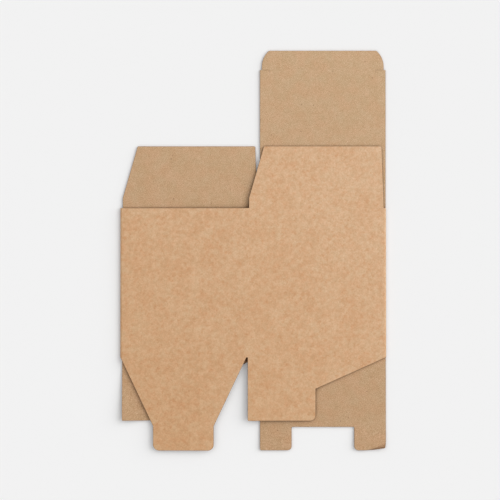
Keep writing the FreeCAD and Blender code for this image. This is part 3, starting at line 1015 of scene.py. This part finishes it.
# %% The lower layer, left: side panel, dust flap and lock flap
left_dust_edge = SEAM - DUST_INSET_CREASE
left_lock_edge = FOLD_LEFT + SIDE_INSET_FOLD
left_runs = [
    (LEFT_EDGE, TOP, "fold", 0),
    (LEFT_EDGE, BOTTOM, "crease", 0),
    (left_lock_edge, BOTTOM, "cut", 0),
    (left_lock_edge, BOTTOM - SIDE_LOCK_DEPTH, "cut", CORNER_ROUND),
    (left_lock_edge + SIDE_LEG_WIDTH, BOTTOM - SIDE_LOCK_DEPTH, "cut", SIDE_LEG_ROUND),
    (left_lock_edge + SIDE_LEG_WIDTH, BOTTOM - SIDE_LEG_SHOULDER, "cut", 0),
    (SEAM - SIDE_INSET_CREASE, BOTTOM, "cut", 0),
    (SEAM, BOTTOM, "cut", 0),
    (SEAM, TOP, "cut", 0),
    (left_dust_edge, TOP, "cut", 0),
    (left_dust_edge - DUST_BACK_TAPER, TOP + DUST_DEPTH, "cut", CORNER_ROUND),
    (FOLD_LEFT + DUST_INSET_FOLD + DUST_TAPER, TOP + DUST_DEPTH, "cut", CORNER_ROUND),
    (FOLD_LEFT + DUST_INSET_FOLD, TOP + DUST_SHOULDER, "cut", CORNER_ROUND),
    (FOLD_LEFT + DUST_INSET_FOLD, TOP, "crease", 0),
]
sheet = bmesh.new()
end_lines = [(1, TOP), (1, BOTTOM)]
add_board(sheet, left_runs, lower_left, INNER, OUTER, end_lines)

# %% [markdown]
# ## The back panel's outline
#
# This is the longest outline: the panel with its glue lap, the lid with its tuck flap, and the lock flap with
# its notch. The tuck flap's large corners are arcs that meet its sides at an angle, so they are worked out
# point by point. The slits let the tuck flap lock, and each ends in a small hook so that it doesn't tear on.

# %% Sizes of the back panel's outline
TUCK_INSET = 1.4
TUCK_SHOULDER = 2.5
TUCK_ROUND = 16.0
TUCK_STEPS = 12
SLIT_REACH = 7.3
SLIT_HOOK = 1.9
SLIT_WIDTH = 0.12
LAP_REACH = 15.0
LAP_END_SLOPE = 5.0
LEG_DEPTH = 17.5
LEG_ROUND = 3.0
NOTCH_WIDTH = 47.0
back_left = SEAM + INSET_CREASE
back_right = FOLD_RIGHT - INSET_FOLD
tuck_straight = TUCK_CREASE + TUCK_SHOULDER
tuck_end = TUCK_CREASE + TUCK_DEPTH
lap_left = SEAM - LAP_REACH
lock_end = BOTTOM - LOCK_DEPTH
notch_left = (back_left + back_right - NOTCH_WIDTH) / 2
notch_right = notch_left + NOTCH_WIDTH
leg_top = lock_end + LEG_DEPTH
print("notch from", round(notch_left, 2), "to", round(notch_right, 2), "up to", round(leg_top, 1))


# %% The tuck flap's round corners and slits
def tuck_corner(edge, side):
    """Points of the tuck flap's large round corner, from the straight edge to the top."""
    last = math.asin((tuck_end - tuck_straight) / TUCK_ROUND)
    turns = [last * step / TUCK_STEPS for step in range(TUCK_STEPS + 1)]
    centre = edge + side * TUCK_ROUND
    return [
        (centre - side * TUCK_ROUND * math.cos(turn), tuck_straight + TUCK_ROUND * math.sin(turn))
        for turn in turns
    ]


def slit(edge, side):
    """The slit at one end of the tuck crease, from the lid's edge in and back out."""
    inner = edge + side * SLIT_REACH
    half = SLIT_WIDTH / 2
    return [
        (edge, TUCK_CREASE - half),
        (inner - side * half, TUCK_CREASE - half),
        (inner - side * half, TUCK_CREASE - SLIT_HOOK),
        (inner + side * half, TUCK_CREASE - SLIT_HOOK),
        (inner + side * half, TUCK_CREASE + half),
        (edge + side * TUCK_INSET, TUCK_CREASE + half),
    ]


right_slit = [(x, y, "slit", 0) for x, y in slit(back_right, -1)]
left_slit = [(x, y, "slit", 0) for x, y in reversed(slit(back_left, 1))]
right_slit[-1] = (*right_slit[-1][:2], "cut", 0)
left_slit[-1] = (*left_slit[-1][:2], "cut", 0)
right_round = [(x, y, "cut", 0) for x, y in tuck_corner(back_right - TUCK_INSET, -1)]
left_round = [(x, y, "cut", 0) for x, y in reversed(tuck_corner(back_left + TUCK_INSET, 1))]
print("each round corner has", len(right_round), "points, and each slit", len(right_slit))

# %% The lower layer, right: back panel, lap, lid with its tuck flap, and lock flap
right_runs = [
    (RIGHT_EDGE, BOTTOM, "fold", 0),
    (RIGHT_EDGE, TOP, "crease", 0),
    (back_right, TOP, "cut", 0),
    *right_slit,
    *right_round,
    *left_round,
    *left_slit,
    (back_left, TOP, "cut", 0),
    (SEAM, TOP, "cut", 0),
    (lap_left, TOP - LAP_END_SLOPE, "cut", 0),
    (lap_left, BOTTOM + LAP_END_SLOPE, "cut", 0),
    (SEAM, BOTTOM, "cut", 0),
    (back_left, BOTTOM, "cut", 0),
    (back_left, lock_end, "cut", CORNER_ROUND),
    (notch_left, lock_end, "cut", LEG_ROUND),
    (notch_left, leg_top, "cut", CORNER_ROUND),
    (notch_right, leg_top, "cut", CORNER_ROUND),
    (notch_right, lock_end, "cut", LEG_ROUND),
    (back_right, lock_end, "cut", CORNER_ROUND),
    (back_right, BOTTOM, "crease", 0),
]
EAR_SPOT_SHIFT = 3.0
EAR_SPOT_REACH = 11.0
EAR_SPOT_STEP = 0.8
ear_middle = ear_start.lerp(ear_corner, 0.5)
ear_spot = (ear_middle.x + EAR_SPOT_SHIFT, ear_middle.y + EAR_SPOT_SHIFT, EAR_SPOT_REACH, EAR_SPOT_STEP)
add_board(
    sheet,
    right_runs,
    lower_right,
    INNER,
    OUTER,
    [*end_lines, (1, TUCK_CREASE), (0, SEAM + LAP_STEP / 2)],
    [ear_spot],
)

# %% [markdown]
# ## Closing the tube
#
# The upper board and the four rolled liners are laid against the lower boards. Points that lie in the same
# place are welded, and at its two ends each roll is closed by a strip of cut edge. Then every edge of the
# sheet has to belong to two faces, and the last line counts those that don't.

# %% The upper layer, the rolls and the weld
upper_runs = [
    (RIGHT_EDGE, BOTTOM, "fold", 0),
    (RIGHT_EDGE, TOP, "crease", 0),
    (RIDGE, TOP, "cut", 0),
    (LEFT_EDGE, TOP, "fold", 0),
    (LEFT_EDGE, BOTTOM, "crease", 0),
]
add_board(sheet, upper_runs, upper, OUTER, INNER, [*end_lines, (0, RIDGE)])
for x, first_angle in ((LEFT_EDGE, math.pi / 2), (RIGHT_EDGE, -math.pi / 2)):
    add_roll(sheet, x, first_angle, FOLD_ROUND, OUTER)
    add_roll(sheet, x, first_angle, FOLD_GAP / 2, INNER)
bmesh.ops.remove_doubles(sheet, verts=sheet.verts, dist=WELD * MM)
for x, side in ((LEFT_EDGE, -1), (RIGHT_EDGE, 1)):
    for end in (BOTTOM, TOP):
        close_roll(sheet, x, side, end)
bmesh.ops.recalc_face_normals(sheet, faces=sheet.faces)
open_edges = [edge for edge in sheet.edges if len(edge.link_faces) != 2]
print("edges of the sheet that aren't shared by two faces:", len(open_edges))

# %% [markdown]
# ## From mesh data to pieces
#
# A finished piece stands for its part in the frame, and rides on the body that part belongs to. The normals
# are split where the board has a real edge, and stay smooth where it bends.

# %% Finish a piece
SHARP = math.radians(18)


def finish_piece(name, mesh, body, node):
    """Turns a bmesh into a piece of the carton."""
    data = bpy.data.meshes.new(name)
    mesh.to_mesh(data)
    mesh.free()
    for finish in finishes:
        data.materials.append(finish)
    data.shade_smooth()
    data.set_sharp_from_angle(angle=SHARP)
    piece = bpy.data.objects.new(name, data)
    bpy.context.scene.collection.objects.link(piece)
    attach(piece, body)
    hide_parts(node)
    print(name, "faces", len(data.polygons), "size mm", [round(v / MM, 1) for v in piece.dimensions])
    return piece


finish_piece("carton_sheet", sheet, "blank", "carton_blank")

# %% [markdown]
# ## The three flaps that lift
#
# The front lock flap, the side lock flap and the side dust flap belong to the upper layer, so a hand can
# lift them. Each is a mesh of its own that rides on its body, with its root wall against the panel's. The
# front one ends in the tab that locks the bottom, between two long slopes.

# %% Front lock flap
TAB_ROUND = 4.5
front_right = RIDGE - INSET_CREASE
front_left = FOLD_LEFT + INSET_FOLD
shoulder = lock_end + TAB_DEPTH
front_lock_runs = [
    (front_left, BOTTOM, "cut", 0),
    (front_left + LOCK_SLOPE_RUN, shoulder, "cut", CORNER_ROUND),
    (front_left + LOCK_SLOPE_RUN, lock_end, "cut", TAB_ROUND),
    (front_right - LOCK_SLOPE_RUN, lock_end, "cut", TAB_ROUND),
    (front_right - LOCK_SLOPE_RUN, shoulder, "cut", CORNER_ROUND),
    (front_right, BOTTOM, "crease", 0),
]
front_lock = bmesh.new()
add_board(front_lock, front_lock_runs, upper, OUTER, INNER, [(1, BOTTOM)])
finish_piece("front_lock_board", front_lock, "front_lock", "front_lock_flap")

# %% [markdown]
# ### Side lock flap
#
# Seen from above it has the same outline as the left one: a straight leg beside the ridge, and a slope up to
# the fold. On the flat sheet, before folding, the two are mirror images.

# %% Side lock flap
side_left = RIDGE + SIDE_INSET_CREASE
side_right = FOLD_RIGHT - INSET_FOLD
side_end = BOTTOM - SIDE_LOCK_DEPTH
side_lock_runs = [
    (side_left, BOTTOM, "cut", 0),
    (side_left, side_end, "cut", CORNER_ROUND),
    (side_left + SIDE_LEG_WIDTH, side_end, "cut", SIDE_LEG_ROUND),
    (side_left + SIDE_LEG_WIDTH, BOTTOM - SIDE_LEG_SHOULDER, "cut", 0),
    (side_right, BOTTOM, "crease", 0),
]
side_lock = bmesh.new()
add_board(side_lock, side_lock_runs, upper, OUTER, INNER, [(1, BOTTOM)])
finish_piece("side_lock_board", side_lock, "side_lock", "side_lock_flap")

# %% [markdown]
# ### Side dust flap
#
# It stands on the side panel's top crease. Its left edge steps in past a shoulder, so that the flap clears
# the tuck flap's slit when the lid closes over it.

# %% Side dust flap
dust_left = RIDGE + DUST_INSET_CREASE
dust_right = FOLD_RIGHT - DUST_INSET_FOLD
side_dust_runs = [
    (dust_left, TOP, "crease", 0),
    (dust_right, TOP, "cut", 0),
    (dust_right - DUST_BACK_TAPER, TOP + DUST_DEPTH, "cut", CORNER_ROUND),
    (dust_left + DUST_TAPER, TOP + DUST_DEPTH, "cut", CORNER_ROUND),
    (dust_left, TOP + DUST_SHOULDER, "cut", CORNER_ROUND),
]
side_dust = bmesh.new()
add_board(side_dust, side_dust_runs, upper, OUTER, INNER, [(1, TOP)])
finish_piece("side_dust_board", side_dust, "side_dust", "side_dust_flap")

# %% [markdown]
# ## Floor and light
#
# The floor is a plain pale sheet. Three lights add up to a plain level, at which a colour renders about
# as it is written: a soft lamp from the upper right, which gives the short shadows beside each edge, a
# very wide lamp from above, and a little light from all round. The world looks as pale as the floor when
# it is seen by the camera or mirrored, so that no dark horizon shows.

# %% The floor
FLOOR_LEVEL = 0.887
FLOOR_HALF = 3.0
FLOOR_DROP = 0.00002
floor_mesh = bpy.data.meshes.new("pale_floor")
square = [(-1, -1), (1, -1), (1, 1), (-1, 1)]
corners = [(x * FLOOR_HALF, y * FLOOR_HALF, -FLOOR_DROP) for x, y in square]
floor_mesh.from_pydata(corners, [], [(0, 1, 2, 3)])
floor = bpy.data.objects.new("pale_floor", floor_mesh)
bpy.context.scene.collection.objects.link(floor)
floor_finish, floor_tree, floor_shader = new_finish("pale_floor", 1.0, 0.0)
floor_shader.inputs["Base Color"].default_value = (FLOOR_LEVEL, FLOOR_LEVEL, FLOOR_LEVEL, 1)
floor_mesh.materials.append(floor_finish)
print("floor", 2 * FLOOR_HALF, "m wide, level", FLOOR_LEVEL)

# %% [markdown]
# ### The lamps
#
# A sun's strength on a flat floor falls with the sine of its height, so each lamp is given its share of the
# plain level, and the strength is worked out from it. A wide angle makes its shadows soft, as a large
# softbox would, and no lamp has to be sized or placed by eye.

# %% The lamps
KEY_SHARE = 0.27
WIDE_SHARE = 0.40
ROUND_SHARE = 0.33
KEY_HEIGHT = math.radians(32)
KEY_SIDE = math.radians(20)
KEY_ANGLE = 55
OVERHEAD = math.radians(90)
WIDE_ANGLE = 110


def add_sun(name, share, height, side, angle):
    """A sun that gives its share of the plain level on a flat floor."""
    lamp = bpy.data.lights.new(name, "SUN")
    lamp.energy = share * math.pi / math.sin(height)
    lamp.angle = math.radians(angle)
    holder = bpy.data.objects.new(name, lamp)
    level = math.cos(height)
    towards = Vector((level * math.cos(side), level * math.sin(side), math.sin(height)))
    holder.rotation_euler = towards.to_track_quat("Z", "Y").to_euler()
    bpy.context.scene.collection.objects.link(holder)
    print(name, "gives", share, "of the level, at a strength of", round(lamp.energy, 2))


add_sun("key_lamp", KEY_SHARE, KEY_HEIGHT, KEY_SIDE, KEY_ANGLE)
add_sun("wide_lamp", WIDE_SHARE, OVERHEAD, 0.0, WIDE_ANGLE)

# %% The world
world = bpy.data.worlds.new("plain_world")
bpy.context.scene.world = world
world.use_nodes = True
backdrop = world.node_tree.nodes["Background"]
seen = world.node_tree.nodes.new("ShaderNodeLightPath")
direct = maths(world.node_tree, "MAXIMUM", seen.outputs["Is Camera Ray"], seen.outputs["Is Glossy Ray"])
direct = maths(world.node_tree, "MAXIMUM", direct, seen.outputs["Is Transmission Ray"])
strength = spread(world.node_tree, direct, 0.0, 1.0, ROUND_SHARE, FLOOR_LEVEL, soft=False)
backdrop.inputs["Color"].default_value = (1, 1, 1, 1)
world.node_tree.links.new(strength, backdrop.inputs["Strength"])
print("light from all round:", ROUND_SHARE, "- seen directly it is as pale as the floor:", FLOOR_LEVEL)

# %% [markdown]
# ## The camera
#
# The photograph looks straight down, but for half a degree, from a little over a metre. A long lens from far
# away keeps the carton's sides parallel. An orthographic camera would too, but then the raised layer would
# not grow by the small amount that it does in the photograph.

# %% Place the camera
AIM = Vector((-2.4, 0.15, 2.0)) * MM
DISTANCE = 1.1266
LEAN = math.radians(0.6)
camera_data = bpy.data.cameras.new("camera")
camera_data.lens = 108.0
camera_data.sensor_width = 36.0
camera = bpy.data.objects.new("camera", camera_data)
camera.location = AIM + Vector((0, -math.sin(LEAN), math.cos(LEAN))) * DISTANCE
camera.rotation_euler = (LEAN, 0, 0)
bpy.context.scene.collection.objects.link(camera)
bpy.context.scene.camera = camera
bpy.context.scene.view_settings.view_transform = "Standard"
print("camera at", [round(v, 3) for v in camera.location], "with a lens of", camera_data.lens, "mm")
